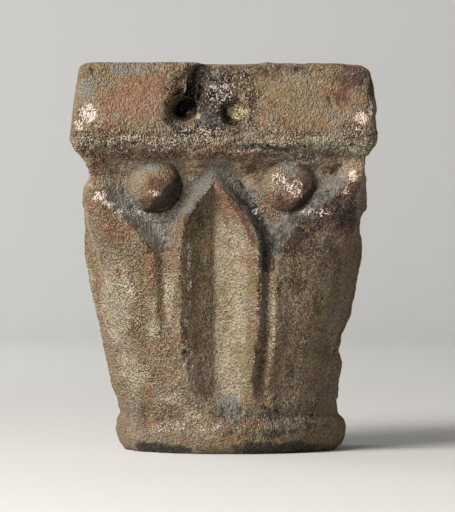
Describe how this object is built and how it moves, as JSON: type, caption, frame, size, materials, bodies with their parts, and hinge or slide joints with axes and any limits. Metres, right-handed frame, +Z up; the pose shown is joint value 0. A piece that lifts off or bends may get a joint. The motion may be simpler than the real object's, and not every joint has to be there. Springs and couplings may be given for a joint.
{
  "type": "column capital",
  "caption": "Square-topped cloister capital carved in one stone, with pointed leaves, balls in the forks, and a round astragal at the foot",
  "frame": {"origin": "centre of the flat underside, where the capital meets its shaft", "axes": "+Z up, front face looks along -Y, +X to the right of the front"},
  "size_m": [0.26, 0.26, 0.331],
  "materials": {
    "stone": "weathered and stained, matt"
  },
  "bodies": {
    "root": {"capital": "stone"}
  },
  "joints": []
}
